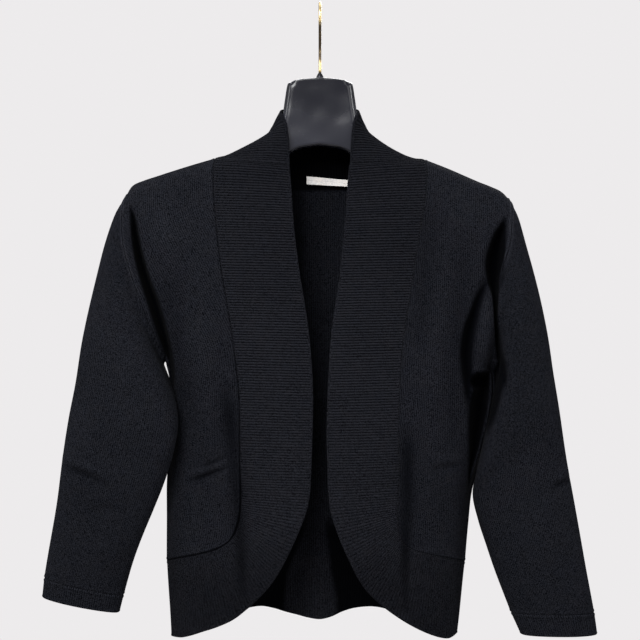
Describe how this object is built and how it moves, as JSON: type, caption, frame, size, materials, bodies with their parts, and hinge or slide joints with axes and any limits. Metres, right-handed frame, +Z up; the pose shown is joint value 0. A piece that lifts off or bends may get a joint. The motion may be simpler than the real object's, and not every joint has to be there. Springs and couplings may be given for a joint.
{
  "type": "cardigan on a hanger",
  "caption": "Open-front black knit cardigan with a ribbed shawl band round neck, fronts and hem, on a black plastic hanger with a brass hook.",
  "frame": {"origin": "the inside top of the hanger's hook, where it rests on a rail, which is the mount hook_seat", "axes": "+Z up, -Y the front of the cardigan, +X the viewer's right when the front is seen"},
  "size_m": [0.6904, 0.1116, 0.7925],
  "materials": {
    "plain_knit": "near-black fine jersey, matt",
    "rib_knit": "near-black rib knit, matt",
    "label_weave": "white woven tape, bare",
    "hanger_plastic": "black, glossy",
    "nut_metal": "dark, satin",
    "hook_brass": "thin brass plating, bright at the foot and darker above"
  },
  "bodies": {
    "root": {"back": "plain_knit", "front_left": "plain_knit", "front_right": "plain_knit", "shawl_left": "rib_knit", "shawl_right": "rib_knit", "hem_back": "rib_knit", "sleeve_left": "plain_knit", "sleeve_right": "plain_knit", "cuff_left": "plain_knit", "cuff_right": "plain_knit", "neck_label": "label_weave", "hanger_body": "hanger_plastic", "hook_nut": "nut_metal", "hanger_hook": "hook_brass"}
  },
  "joints": []
}
